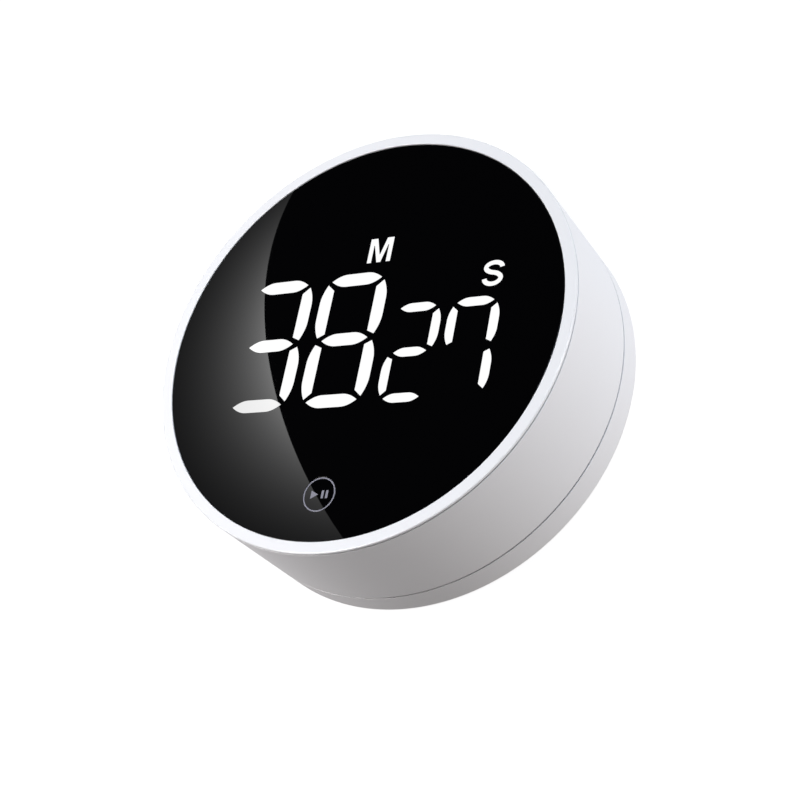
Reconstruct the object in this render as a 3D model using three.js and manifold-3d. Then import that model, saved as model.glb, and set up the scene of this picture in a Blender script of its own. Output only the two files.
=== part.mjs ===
// A round rotary countdown timer with a lit display, built as its real assembly.
// Millimetres. The timer lies on its back: +Z points out of the display, +Y is up as the digits are
// read, and the origin is the middle of the back, on the plane that the grip ring rests on.
import * as THREE from 'three';
import { mergeVertices } from 'three/addons/utils/BufferGeometryUtils.js';
import Module from 'manifold-3d';

const wasm = await Module();
wasm.setup();

// Driving dimensions
const bodyRadius = 39;
const timerHeight = 25.6;
const backHeight = 0.4; // the back cover stands this far off the surface, on the grip ring
const coverWall = 1.8;
const floorTop = 2.6; // inner face of the back cover's floor
const rearSeam = 5.7;
const frontSeam = 25.1;
const seamGap = 0.3;
const glassRadius = 36.9;
const glassThickness = 1.2;
const glassTop = 25.5;
const shellSegments = 48;
const smallSegments = 16;
const holeSegments = 12;

// Rotary ring and its gear
const toothModule = 1;
const ringTeeth = 72;
const pinionTeeth = 12;
const gearBottom = 6.3;
const gearTop = 9.3;
const sleeveInner = 37.2;
const sleeveLipInner = 37.9;
const gearCentre = (toothModule * (ringTeeth - pinionTeeth)) / 2;
const shaftRadius = 1.5;
const runningGap = 0.05;
const encoderHalf = 4.7;

// Inner frame
const frameOuter = 36.9;
const frameInner = 35.4;
const lowerOuter = 34.6;
const lowerInner = 33.2;
const shelfBottom = 9.6;
const shelfTop = 10.6;
const deckBottom = 15.2;
const deckTop = 16.2;
const frameTop = 23.2;

// Electronics stack
const boardBottom = 16.6;
const boardTop = 17.8;
const boardRadius = 33.4;
const ledHousingBottom = 17.95;
const ledHousingTop = 23.7;
const filmBottom = 23.75;
const filmTop = 23.95;

// Cells, box and door
const cellRadius = 5.2;
const cellBodyLength = 43.3;
const cellNub = 1;
const cellPitch = 10.8;
const cellHeight = 8.3;
const boxHalfX = 24.4;
const boxHalfY = 16.2;
const boxWall = 1.2;
const boxTop = 15;
const contactFace = 23.9; // distance of each contact plate's inner face from the middle
const contactThickness = 0.4;
const tabHalf = 1.5; // half the width of a contact plate's solder tab
const doorHalfX = 25.6;
const doorHalfY = 17.4;
const doorBottom = 0.5;
const doorTop = 1.7;
const doorCorner = 3;
const hookY = 9;
const hookHalf = 2;

// Start and stop key, in the lens
const keyX = -0.8;
const keyY = -28.9;
const keyRadius = 2.95;
const keyGap = 0.15;
const flangeBottom = 23;
const flangeTop = 24.1;
const plungerRadius = 1.4;
const plungerTop = 21;

// Volume slide switch, in the back
const sliderX = 28.6;
const sliderTravel = 1.75;
const switchBoardBottom = 6.5;
const switchBoardTop = 7.5;

// Fasteners, magnets and buzzer
const caseScrewCircle = 32.8;
const caseScrewAngles = [20, 160, 200, 340];
const caseScrewSeat = 2.4; // inner end of each counterbore
const padTop = 3.6; // the cover's screw pads reach up to here
const boardScrewCircle = 31;
const boardScrewAngles = [45, 165, 285];
const magnetCircle = 27.4;
const magnetAngles = [60, 120, 240, 300];
const magnetRadius = 4.5;
const magnetThickness = 2;
const buzzerY = -24.3;
const buzzerRadius = 6;

// Display: digit centres, sizes and stroke widths
const digits = [
  { x: -17.15, y: -0.9, width: 13.1, height: 25.2, stroke: 2.4 },
  { x: -2.45, y: -0.9, width: 13.1, height: 25.2, stroke: 2.4 },
  { x: 10.7, y: -4.35, width: 9.4, height: 18.2, stroke: 1.75 },
  { x: 21.25, y: -4.35, width: 9.4, height: 18.2, stroke: 1.75 },
];
const segmentGap = 0.45;
const reflectorRadius = 32.8;
const pegX = 23; // the reflector housing's locating pegs
const pegY = -14.6;
const pegRadius = 0.9;
const legends = [
  { x: 1.05, y: 15.8 },
  { x: 23.5, y: 8.8 },
];
const legendSize = 5.4;

// Materials
function finish(color, roughness, metalness = 0) {
  return new THREE.MeshStandardMaterial({ color, roughness, metalness });
}
const whiteShell = finish(0xf1f2f6, 0.42);
const blackGlass = finish(0x050506, 0.06);
const frameWhite = finish(0xe4e4e2, 0.6);
const blackPlastic = finish(0x1a1a1c, 0.5);
const acetalWhite = finish(0xeceade, 0.5);
const greyRubber = finish(0x5c5d60, 0.85);
const boardGreen = finish(0x1f5a3a, 0.5);
const filmWhite = finish(0xf4f4f4, 0.35);
const tapeGrey = finish(0x303033, 0.9);
const steel = finish(0xb9bcc0, 0.3, 1);
const nickel = finish(0xc8c8c6, 0.25, 1);
const cellJacket = finish(0x3c4c5c, 0.35);
const ribbonTan = finish(0xc98f3a, 0.4);

// Solids
function toSolid(geometry) {
  const bare = geometry.clone();
  bare.deleteAttribute('normal');
  bare.deleteAttribute('uv');
  const merged = mergeVertices(bare, 1e-4);
  const corners = merged.index.array;
  const kept = [];
  for (let i = 0; i < corners.length; i += 3) {
    const [a, b, c] = corners.slice(i, i + 3);
    if (a !== b && b !== c && c !== a) {
      kept.push(a, b, c);
    }
  }
  return new wasm.Manifold(
    new wasm.Mesh({
      numProp: 3,
      vertProperties: merged.attributes.position.array,
      triVerts: new Uint32Array(kept),
    })
  );
}

// Turns a closed outline of [radius, height] points, listed anticlockwise, about Z
function turned(outline, segments = shellSegments) {
  const points = outline.map(([radius, height]) => new THREE.Vector2(radius, height));
  const onAxis = outline[0][0] === 0 && outline.at(-1)[0] === 0;
  if (!onAxis) {
    points.push(points[0].clone());
  }
  return toSolid(new THREE.LatheGeometry(points, segments).rotateX(Math.PI / 2));
}

function ring(inner, outer, bottom, top, segments = shellSegments) {
  return turned([[inner, bottom], [outer, bottom], [outer, top], [inner, top]], segments);
}

function disc(x, y, radius, bottom, top, segments = smallSegments) {
  const outline = [[0, bottom], [radius, bottom], [radius, top], [0, top]];
  return turned(outline, segments).translate([x, y, 0]);
}

function block(left, right, front, back, bottom, top) {
  const geometry = new THREE.BoxGeometry(right - left, back - front, top - bottom);
  geometry.translate((left + right) / 2, (front + back) / 2, (bottom + top) / 2);
  return toSolid(geometry);
}

function slab(shape, bottom, top, curveSegments = 6) {
  const options = { depth: top - bottom, bevelEnabled: false, curveSegments };
  return toSolid(new THREE.ExtrudeGeometry(shape, options).translate(0, 0, bottom));
}

function roundedRectangle(halfX, halfY, radius) {
  const shape = new THREE.Shape();
  const quarter = Math.PI / 2;
  shape.absarc(halfX - radius, halfY - radius, radius, 0, quarter);
  shape.absarc(radius - halfX, halfY - radius, radius, quarter, 2 * quarter);
  shape.absarc(radius - halfX, radius - halfY, radius, 2 * quarter, 3 * quarter);
  shape.absarc(halfX - radius, radius - halfY, radius, 3 * quarter, 4 * quarter);
  return shape;
}

function polygon(points) {
  return new THREE.Shape(points.map(([x, y]) => new THREE.Vector2(x, y)));
}

// A quarter round of outline points about (x, y), from one angle to another in degrees
function arc(x, y, radius, from, to, steps) {
  const points = [];
  for (let i = 0; i <= steps; i += 1) {
    const angle = THREE.MathUtils.degToRad(from + ((to - from) * i) / steps);
    points.push([x + radius * Math.cos(angle), y + radius * Math.sin(angle)]);
  }
  return points;
}

function onCircle(radius, degrees) {
  const angle = THREE.MathUtils.degToRad(degrees);
  return [radius * Math.cos(angle), radius * Math.sin(angle)];
}

function piece(name, solid, material, x = 0, y = 0, z = 0) {
  const { vertProperties, triVerts } = solid.getMesh();
  const geometry = new THREE.BufferGeometry();
  geometry.setAttribute('position', new THREE.BufferAttribute(vertProperties, 3));
  geometry.setIndex(new THREE.BufferAttribute(triVerts, 1));
  geometry.computeVertexNormals();
  const mesh = new THREE.Mesh(geometry, material);
  mesh.name = name;
  mesh.position.set(x, y, z);
  return mesh;
}

function assembly(...members) {
  const group = new THREE.Group();
  group.add(...members);
  return group;
}

// Front: the smoked lens lies in the bezel on a ring of double-sided tape
function frontLens() {
  const bottom = glassTop - glassThickness;
  const keyHole = disc(keyX, keyY, keyRadius + keyGap, bottom - 1, glassTop + 1);
  return ring(0, glassRadius, bottom, glassTop).subtract(keyHole);
}

function frontBezel() {
  const edge = 0.35;
  const innerEdge = 0.15;
  const seat = 24;
  const neck = 37.6;
  const skirtOuter = 35.2;
  const skirtInner = 34;
  const bore = glassRadius + 0.1;
  const skirtBottom = 20.6;
  return turned([
    [skirtInner, skirtBottom],
    [skirtOuter, skirtBottom],
    [skirtOuter, frameTop + 0.1],
    [neck, frameTop + 0.1],
    [neck, frontSeam],
    [bodyRadius, frontSeam],
    ...arc(bodyRadius - edge, timerHeight - edge, edge, 0, 90, 2),
    [bore + innerEdge, timerHeight],
    [bore, timerHeight - innerEdge],
    [bore, seat],
    [skirtInner, seat],
  ]);
}

// The ring that is turned to set the time, with an internal gear in its lower end
function gearOutline(teeth, rootRadius, tipRadius, rootShare, tipShare) {
  const points = [];
  for (let i = 0; i < teeth; i += 1) {
    const step = 360 / teeth;
    for (const [radius, share] of [[rootRadius, -rootShare], [tipRadius, -tipShare],
      [tipRadius, tipShare], [rootRadius, rootShare]]) {
      points.push(onCircle(radius, (i + share) * step));
    }
  }
  return points;
}

function ringGear() {
  const pitchRadius = (toothModule * ringTeeth) / 2;
  const toothTip = pitchRadius - 0.8 * toothModule;
  const toothRoot = pitchRadius + toothModule;
  const mouthShare = 0.375; // half widths of the space between two teeth, in pitches
  const rootShare = 0.21;
  const spaces = polygon(gearOutline(ringTeeth, toothTip, toothRoot, mouthShare, rootShare));
  return ring(toothTip - 1, sleeveInner + 0.3, gearBottom, gearTop)
    .subtract(slab(spaces, gearBottom - 1, gearTop + 1));
}

function rotarySleeve() {
  const bottom = rearSeam + seamGap;
  const top = frontSeam - seamGap;
  const edge = 0.2;
  const lipBottom = frameTop - 0.1;
  const shell = turned([
    [sleeveInner, bottom],
    [bodyRadius - edge, bottom],
    [bodyRadius, bottom + edge],
    [bodyRadius, top - edge],
    [bodyRadius - edge, top],
    [sleeveLipInner, top],
    [sleeveLipInner, lipBottom],
    [sleeveInner, lipBottom],
  ]);
  return shell.add(ringGear());
}

// The fixed drum inside the ring
function innerFrame() {
  const foot = floorTop + 0.15;
  let frame = turned([
    [lowerInner, foot],
    [lowerOuter, foot],
    [lowerOuter, shelfBottom],
    [frameOuter, shelfBottom],
    [frameOuter, frameTop],
    [frameInner, frameTop],
    [frameInner, deckTop],
    [0, deckTop],
    [0, deckBottom],
    [frameInner, deckBottom],
    [frameInner, shelfTop],
    [lowerInner, shelfTop],
  ]);
  const bossRadius = 2.1;
  const pilotRadius = 1.05;
  const padRoom = 3.1;
  const bossBottom = padTop + 0.1;
  for (const angle of caseScrewAngles) {
    const [x, y] = onCircle(caseScrewCircle, angle);
    frame = frame
      .add(disc(x, y, bossRadius, bossBottom, deckBottom + 0.1))
      .subtract(disc(x, y, padRoom, 0, bossBottom))
      .subtract(disc(x, y, pilotRadius, bossBottom - 1, 10, holeSegments));
  }
  const postRadius = 2.2;
  const postBottom = 12.4;
  const postPilot = 0.85;
  for (const angle of boardScrewAngles) {
    const [x, y] = onCircle(boardScrewCircle, angle);
    frame = frame
      .add(disc(x, y, postRadius, postBottom, boardBottom - 0.1))
      .subtract(disc(x, y, postPilot, postBottom + 0.8, boardBottom, holeSegments));
  }
  const tab = tabHalf + 0.9;
  const tabNear = contactFace - 0.3;
  const tabFar = contactFace + 0.8;
  const encoderRoom = encoderHalf + 0.5;
  const below = deckBottom - 1;
  const above = deckTop + 1;
  return frame
    .subtract(block(-8.5, 8.5, 20, frameInner + 0.5, 5.6, shelfBottom))
    .subtract(block(-encoderRoom, encoderRoom, gearCentre - encoderRoom, gearCentre + 5.1, below, above))
    .subtract(disc(0, buzzerY, buzzerRadius + 0.4, below, above))
    .subtract(block(tabNear, tabFar, -cellPitch - tab, tab - cellPitch, below, above))
    .subtract(block(-tabFar, -tabNear, cellPitch - tab, cellPitch + tab, below, above))
    .subtract(block(30.9, 32.1, -3.2, 3.2, below, above));
}

// Back: cover, grip ring, door, and what the cover holds
function backCover() {
  const edge = 0.4;
  const ribInner = 35.4;
  const ribOuter = 36.6;
  const ribTop = 5.2;
  const wallInner = bodyRadius - coverWall;
  const through = floorTop + 1;
  let cover = turned([
    [0, backHeight],
    ...arc(bodyRadius - edge, backHeight + edge, edge, -90, 0, 3),
    [bodyRadius, rearSeam],
    [wallInner, rearSeam],
    [wallInner, floorTop],
    [ribOuter, floorTop],
    [ribOuter, ribTop],
    [ribInner, ribTop],
    [ribInner, floorTop],
    [0, floorTop],
  ]);
  const padRadius = 2.9;
  const counterbore = 2;
  const clearance = 1.25;
  for (const angle of caseScrewAngles) {
    const [x, y] = onCircle(caseScrewCircle, angle);
    cover = cover
      .add(disc(x, y, padRadius, floorTop - 0.1, padTop))
      .subtract(disc(x, y, counterbore, 0, caseScrewSeat))
      .subtract(disc(x, y, clearance, 0, padTop + 1, holeSegments));
  }
  const pocketTop = 4.2;
  for (const angle of magnetAngles) {
    const [x, y] = onCircle(magnetCircle, angle);
    const pocketWall = ring(magnetRadius + 0.15, magnetRadius + 1, floorTop - 0.1, pocketTop, smallSegments);
    cover = cover.add(pocketWall.translate([x, y, 0]));
  }
  const bushTop = 5.6;
  const bush = disc(0, gearCentre, 2.6, floorTop - 0.1, bushTop);
  cover = cover.add(bush).subtract(disc(0, gearCentre, shaftRadius + runningGap, 2.9, bushTop + 1));
  const postRadius = 0.7;
  for (const y of [-6.3, 6.3]) {
    cover = cover.add(disc(sliderX, y, postRadius, floorTop - 0.1, switchBoardBottom - 0.05, holeSegments));
  }
  const grooveTop = 1.1;
  const recessTop = doorTop + 0.1;
  const recessRim = 0.15;
  const recess = roundedRectangle(doorHalfX + recessRim, doorHalfY + recessRim, doorCorner + recessRim);
  const notch = 5.5;
  const slotHalf = sliderTravel + 2.3;
  cover = cover
    .subtract(ring(30.8, 35.2, 0, grooveTop))
    .subtract(slab(roundedRectangle(boxHalfX, boxHalfY, 2), 0, through))
    .subtract(slab(recess, 0, recessTop))
    .subtract(block(-28.4, -doorHalfX, -notch, notch, 0, recessTop + 0.1))
    .subtract(block(sliderX - 1.65, sliderX + 1.6, -notch, notch, 0, 1.2))
    .subtract(block(sliderX - 1.3, sliderX + 1.3, -slotHalf, slotHalf, 0, through));
  const hookRoom = hookHalf + 0.3;
  for (const y of [-hookY, hookY]) {
    cover = cover.subtract(block(boxHalfX - 1, 26.9, y - hookRoom, y + hookRoom, 0.9, 2.15));
  }
  const soundPitch = 2.6;
  const soundRadius = 0.6;
  const soundHoles = [[0, 0]];
  for (let angle = 0; angle < 360; angle += 60) {
    soundHoles.push(onCircle(soundPitch, angle));
  }
  for (const [x, y] of soundHoles) {
    cover = cover.subtract(disc(x, buzzerY + y, soundRadius, 0, through, 8));
  }
  return cover;
}

function batteryDoor() {
  const panel = slab(roundedRectangle(doorHalfX, doorHalfY, doorCorner), doorBottom, doorTop);
  const latchHalf = 3;
  const latch = block(-doorHalfX - 0.8, 1 - doorHalfX, -latchHalf, latchHalf, 0.9, doorTop);
  let door = panel.add(latch);
  for (const y of [-hookY, hookY]) {
    door = door.add(block(doorHalfX - 1, doorHalfX + 0.9, y - hookHalf, y + hookHalf, 1.1, doorTop));
  }
  return door;
}

function batteryBox() {
  const bottom = floorTop + 0.15;
  const roofBottom = 13.9;
  const outer = slab(roundedRectangle(boxHalfX + boxWall, boxHalfY + boxWall, 2), bottom, boxTop);
  const hollow = block(-boxHalfX, boxHalfX, -boxHalfY, boxHalfY, bottom - 1, roofBottom);
  const tab = tabHalf + 0.5;
  const near = contactFace - 0.1;
  const low = roofBottom - 0.9;
  const high = boxTop + 1;
  return outer
    .subtract(hollow)
    .subtract(block(near, boxHalfX, -cellPitch - tab, tab - cellPitch, low, high))
    .subtract(block(-boxHalfX, -near, cellPitch - tab, cellPitch + tab, low, high));
}

// A cell lies along X with its middle at the mesh's own origin and its button end towards +X
function cell() {
  const half = (cellBodyLength + cellNub) / 2;
  const shoulder = half - cellNub;
  const edge = 0.4;
  const nubRadius = 1.9;
  const upright = turned([
    [0, -half],
    [cellRadius - edge, -half],
    [cellRadius, edge - half],
    [cellRadius, shoulder - edge],
    [cellRadius - edge, shoulder],
    [nubRadius, shoulder],
    [nubRadius, half],
    [0, half],
  ], smallSegments);
  return upright.rotate([0, 90, 0]);
}

class ConicalHelix extends THREE.Curve {
  // Starts on the contact plate at the wide end and winds along +X towards the cell
  constructor(wideRadius, narrowRadius, turns, length) {
    super();
    Object.assign(this, { wideRadius, narrowRadius, turns, length });
  }

  getPoint(t, target = new THREE.Vector3()) {
    const radius = THREE.MathUtils.lerp(this.wideRadius, this.narrowRadius, t);
    const angle = 2 * Math.PI * this.turns * t;
    return target.set(this.length * t, radius * Math.cos(angle), radius * Math.sin(angle));
  }
}

function cellSpring() {
  const wireRadius = 0.3;
  const turns = 3;
  const path = new ConicalHelix(3.4, 2, turns, springRoom - 2 * wireRadius - 0.3);
  const section = polygon(arc(0, 0, wireRadius, 0, 300, 5));
  const options = { steps: 8 * turns, extrudePath: path, bevelEnabled: false };
  return toSolid(new THREE.ExtrudeGeometry(section, options)).translate([wireRadius + 0.15, 0, 0]);
}

function contactPlate(side, fromY, toY, tabY) {
  const near = side > 0 ? contactFace : -contactFace - contactThickness;
  const far = near + contactThickness;
  const plateBottom = 4.2;
  const plateTop = 12.6;
  const plate = block(near, far, fromY, toY, plateBottom, plateTop);
  if (tabY === undefined) {
    return plate;
  }
  return plate.add(block(near, far, tabY - tabHalf, tabY + tabHalf, plateTop - 0.6, boardBottom - 0.1));
}

const springRoom = 2 * contactFace - cellBodyLength - cellNub - 0.1;

function cells() {
  const group = new THREE.Group();
  for (let i = 0; i < 3; i += 1) {
    const side = i % 2 === 0 ? 1 : -1;
    const row = new THREE.Group();
    row.position.set(0, (i - 1) * cellPitch, cellHeight);
    row.rotation.z = side > 0 ? 0 : Math.PI;
    row.add(piece(`cell_${i + 1}`, cell(), cellJacket, springRoom / 2 - 0.05));
    row.add(piece(`cell_spring_${i + 1}`, cellSpring(), steel, -contactFace));
    group.add(row);
  }
  const single = 4.4;
  group.add(
    piece('contact_positive', contactPlate(1, -cellPitch - single, single - cellPitch, -cellPitch), nickel),
    piece('contact_bridge_right', contactPlate(1, -single, cellPitch + single), nickel),
    piece('contact_bridge_left', contactPlate(-1, -cellPitch - single, single), nickel),
    piece('contact_negative', contactPlate(-1, cellPitch - single, cellPitch + single, cellPitch), nickel)
  );
  return group;
}

// Display: each segment is a six-sided bar with pointed ends
function segmentBar(x, y, length, width, upright) {
  const half = length / 2;
  const flat = half - width / 2;
  const side = width / 2;
  const outline = [[-half, 0], [-flat, -side], [flat, -side], [half, 0], [flat, side], [-flat, side]];
  return outline.map(([along, across]) => (upright ? [x - across, y + along] : [x + along, y + across]));
}

function digitSegments({ x, y, width, height, stroke }) {
  const columnX = (width - stroke) / 2;
  const rowY = (height - stroke) / 2;
  const across = width - stroke - segmentGap;
  const tall = rowY - segmentGap;
  const bars = [];
  for (const row of [-1, 0, 1]) {
    bars.push(segmentBar(x, y + row * rowY, across, stroke, false));
  }
  for (const column of [-1, 1]) {
    for (const row of [-0.5, 0.5]) {
      bars.push(segmentBar(x + column * columnX, y + row * rowY, tall, stroke, true));
    }
  }
  return bars;
}

function displayOutline() {
  const outline = roundedRectangle(27.1, 17.6, 2);
  return slab(outline, ledHousingBottom, filmTop).translate([1.1, 1.6, 0]);
}

function ledHousing() {
  const round = disc(0, 0, reflectorRadius, ledHousingBottom, ledHousingTop, shellSegments);
  let housing = displayOutline().intersect(round);
  for (const digit of digits) {
    for (const bar of digitSegments(digit)) {
      housing = housing.subtract(slab(polygon(bar), ledHousingBottom - 1, ledHousingTop + 1));
    }
  }
  for (const { x, y } of legends) {
    const half = legendSize / 2;
    const well = block(x - half, x + half, y - half, y + half, ledHousingBottom - 1, ledHousingTop + 1);
    housing = housing.subtract(well);
  }
  for (const x of [-pegX, pegX]) {
    housing = housing.add(disc(x, pegY, pegRadius, boardBottom + 0.1, ledHousingBottom + 0.1, holeSegments));
  }
  return housing;
}

function diffuserFilm() {
  return displayOutline().intersect(disc(0, 0, reflectorRadius, filmBottom, filmTop, shellSegments));
}

function mainBoard() {
  let board = disc(0, 0, boardRadius, boardBottom, boardTop, shellSegments);
  const chipHeight = 0.6;
  const chipHalf = 0.6;
  const wells = legends.map(({ x, y }) => [x, y]);
  for (const digit of digits) {
    for (const bar of digitSegments(digit)) {
      wells.push([(bar[0][0] + bar[3][0]) / 2, (bar[0][1] + bar[3][1]) / 2]);
    }
  }
  for (const [x, y] of wells) {
    const chip = block(-chipHalf, chipHalf, -chipHalf, chipHalf, boardTop - 0.1, boardTop + chipHeight);
    board = board.add(chip.translate([x, y, 0]));
  }
  for (const angle of boardScrewAngles) {
    const [x, y] = onCircle(boardScrewCircle, angle);
    board = board.subtract(disc(x, y, 1, boardBottom - 1, boardTop + 1, holeSegments));
  }
  for (const x of [-pegX, pegX]) {
    board = board.subtract(disc(x, pegY, pegRadius + 0.2, boardBottom - 1, boardTop + 1, holeSegments));
  }
  return board;
}

// Start and stop key: the cap is held under the lens by its flange and presses a tactile switch
function keyCap() {
  const flange = 3.8;
  const stem = 1.2;
  const stemBottom = plungerTop + 0.05;
  return turned([
    [0, stemBottom],
    [stem, stemBottom],
    [stem, flangeBottom],
    [flange, flangeBottom],
    [flange, flangeTop],
    [keyRadius, flangeTop],
    [keyRadius, glassTop],
    [0, glassTop],
  ], smallSegments);
}

function tactSwitchBody() {
  const half = 3;
  const bottom = boardTop + 0.05;
  const wellBottom = 18.6;
  const well = disc(0, 0, plungerRadius + 0.2, wellBottom, plungerTop);
  return block(-half, half, -half, half, bottom, 20.4).subtract(well);
}

function key() {
  const group = assembly(
    piece('key_cap', keyCap(), blackGlass),
    piece('tact_switch_body', tactSwitchBody(), blackPlastic),
    piece('tact_switch_plunger', disc(0, 0, plungerRadius, 19.3, plungerTop), acetalWhite)
  );
  group.position.set(keyX, keyY, 0);
  return group;
}

// Encoder: its pinion meshes with the gear inside the ring
function drivePinion() {
  const pitchRadius = (toothModule * pinionTeeth) / 2;
  const toothRoot = pitchRadius - 1.2 * toothModule;
  const toothTip = pitchRadius + 0.75 * toothModule;
  const rootShare = 0.33; // half widths of a tooth, in pitches
  const tipShare = 0.1;
  const outline = gearOutline(pinionTeeth, toothRoot, toothTip, rootShare, tipShare);
  const bore = disc(0, 0, shaftRadius + runningGap, gearBottom - 1, gearTop + 1);
  return slab(polygon(outline), gearBottom, gearTop).subtract(bore);
}

function encoder() {
  const half = encoderHalf;
  const bodyBottom = 11.6;
  const shaftTop = 14.6;
  const body = block(-half, half, -half, half, bodyBottom, boardBottom - 0.1);
  const well = disc(0, 0, shaftRadius + runningGap, bodyBottom - 1, shaftTop + 0.2);
  const group = assembly(
    piece('encoder_body', body.subtract(well), blackPlastic),
    piece('encoder_shaft', disc(0, 0, shaftRadius, 3.1, shaftTop), steel),
    piece('drive_pinion', drivePinion(), acetalWhite)
  );
  group.position.set(0, gearCentre, 0);
  return group;
}

function buzzer() {
  const bottom = 10;
  const can = disc(0, 0, buzzerRadius, bottom, boardBottom - 0.1);
  const port = disc(0, 0, 1, bottom - 1, bottom + 1.5, holeSegments);
  return can.subtract(port);
}

// Volume slide switch: the slider's lever reaches up into the switch body
function volumeSlider() {
  let slider = block(-1.05, 1.05, -2, 2, 0.8, 2.8).add(block(-0.7, 0.7, -1, 1, 2.7, 4.3));
  for (const y of [-1.2, 0, 1.2]) {
    slider = slider.add(block(-1.05, 1.05, y - 0.25, y + 0.25, 0.55, 0.9));
  }
  return slider;
}

function volumeSwitchBody() {
  const reach = 1 + sliderTravel + 0.35;
  const bottom = 3;
  const lever = block(-0.9, 0.9, -reach, reach, bottom - 1, 4.6);
  return block(-1.7, 1.7, -5.2, 5.2, bottom, switchBoardBottom - 0.1).subtract(lever);
}

function switchRibbon() {
  const thickness = 0.25;
  const bend = 1;
  const low = switchBoardTop + 0.1;
  const right = 2.9;
  const profile = polygon([
    [-1, low],
    ...arc(right - bend, low + bend, bend, -90, 0, 4),
    [right, boardBottom - 0.1],
    [right - thickness, boardBottom - 0.1],
    ...arc(right - bend, low + bend, bend - thickness, 0, -90, 4),
    [-1, low + thickness],
  ]);
  const width = 5;
  return slab(profile, -width / 2, width / 2).rotate([90, 0, 0]);
}

function volumeSwitch() {
  const group = assembly(
    piece('volume_slider', volumeSlider(), blackPlastic),
    piece('volume_switch_body', volumeSwitchBody(), steel),
    piece('switch_board', block(-1.9, 1.9, -7.2, 7.2, switchBoardBottom, switchBoardTop), boardGreen),
    piece('switch_ribbon', switchRibbon(), ribbonTan)
  );
  group.position.set(sliderX, 0, 0);
  return group;
}

// Screws stand on the mesh's own origin at the underside of the head and point along +Z
function screw(headRadius, headHeight, shankRadius, shankLength) {
  const recess = 0.45 * headRadius;
  const solid = turned([
    [0, -headHeight],
    [0.8 * headRadius, -headHeight],
    [headRadius, -0.6 * headHeight],
    [headRadius, 0],
    [shankRadius, 0],
    [shankRadius, 0.85 * shankLength],
    [0.4 * shankRadius, shankLength],
    [0, shankLength],
  ], smallSegments);
  const slotHalf = 0.13 * headRadius;
  const slot = block(-recess, recess, -slotHalf, slotHalf, -2 * headHeight, -0.5 * headHeight);
  const cross = block(-slotHalf, slotHalf, -recess, recess, -2 * headHeight, -0.5 * headHeight);
  return solid.subtract(slot).subtract(cross);
}

function fasteners() {
  const group = new THREE.Group();
  caseScrewAngles.forEach((angle, i) => {
    const [x, y] = onCircle(caseScrewCircle, angle);
    const solid = screw(1.8, 1.1, 1, 6.6);
    group.add(piece(`case_screw_${i + 1}`, solid, steel, x, y, caseScrewSeat - 0.05));
  });
  boardScrewAngles.forEach((angle, i) => {
    const [x, y] = onCircle(boardScrewCircle, angle);
    const solid = screw(1.5, 0.9, 0.8, 4.4);
    const mesh = piece(`board_screw_${i + 1}`, solid, steel, x, y, boardTop + 0.05);
    mesh.rotation.x = Math.PI;
    group.add(mesh);
  });
  return group;
}

function magnets() {
  const group = new THREE.Group();
  magnetAngles.forEach((angle, i) => {
    const [x, y] = onCircle(magnetCircle, angle);
    const solid = disc(0, 0, magnetRadius, 0, magnetThickness);
    group.add(piece(`magnet_${i + 1}`, solid, nickel, x, y, floorTop + 0.05));
  });
  return group;
}

const timer = assembly(
  piece('front_lens', frontLens(), blackGlass),
  piece('lens_tape', ring(34.3, 36.6, 24.05, 24.25), tapeGrey),
  piece('front_bezel', frontBezel(), whiteShell),
  piece('rotary_sleeve', rotarySleeve(), whiteShell),
  piece('glide_ring', ring(35.5, 36.8, 5.25, 6.2), acetalWhite),
  piece('inner_frame', innerFrame(), frameWhite),
  piece('main_board', mainBoard(), boardGreen),
  piece('control_chip', block(-17.5, -10.5, -27.5, -20.5, boardTop + 0.05, 19), blackPlastic),
  piece('led_housing', ledHousing(), frameWhite),
  piece('diffuser_film', diffuserFilm(), filmWhite),
  key(),
  encoder(),
  piece('buzzer', buzzer(), blackPlastic, 0, buzzerY),
  volumeSwitch(),
  piece('back_cover', backCover(), whiteShell),
  piece('grip_ring', ring(31, 35, 0, 1), greyRubber),
  piece('battery_door', batteryDoor(), whiteShell),
  piece('battery_box', batteryBox(), blackPlastic),
  cells(),
  magnets(),
  fasteners()
);

export default timer;
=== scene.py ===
# Looks of a round rotary countdown timer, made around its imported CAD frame.
# Metres. The timer lies on its back, +Z points out of the display and +Y is up as the digits are read.
import math

import bmesh
import bpy
import numpy as np
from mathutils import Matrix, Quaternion, Vector


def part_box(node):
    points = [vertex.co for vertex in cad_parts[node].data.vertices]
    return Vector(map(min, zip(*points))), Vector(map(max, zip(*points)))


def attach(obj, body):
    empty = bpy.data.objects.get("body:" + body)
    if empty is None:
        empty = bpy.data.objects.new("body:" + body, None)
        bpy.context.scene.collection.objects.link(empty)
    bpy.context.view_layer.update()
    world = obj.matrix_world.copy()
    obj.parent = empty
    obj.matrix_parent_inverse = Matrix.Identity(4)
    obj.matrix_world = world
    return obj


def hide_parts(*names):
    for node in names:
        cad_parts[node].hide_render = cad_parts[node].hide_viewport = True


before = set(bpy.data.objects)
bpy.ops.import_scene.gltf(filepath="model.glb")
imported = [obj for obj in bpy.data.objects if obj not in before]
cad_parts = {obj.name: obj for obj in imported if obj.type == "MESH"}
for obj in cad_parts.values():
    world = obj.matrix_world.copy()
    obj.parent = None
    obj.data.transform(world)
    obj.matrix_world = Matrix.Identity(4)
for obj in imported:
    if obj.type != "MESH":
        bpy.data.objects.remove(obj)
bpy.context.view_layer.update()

mm = 0.001
pole = 0.0005  # radius in mm at which a turned solid closes on its axis


# Helpers

def linearFromHex(hexColour):
    # sRGB hex to linear RGBA
    channels = np.array([int(hexColour[i:i + 2], 16) for i in (1, 3, 5)]) / 255
    low = channels / 12.92
    high = ((channels + 0.055) / 1.055) ** 2.4
    return (*np.where(channels <= 0.04045, low, high), 1.0)


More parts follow.
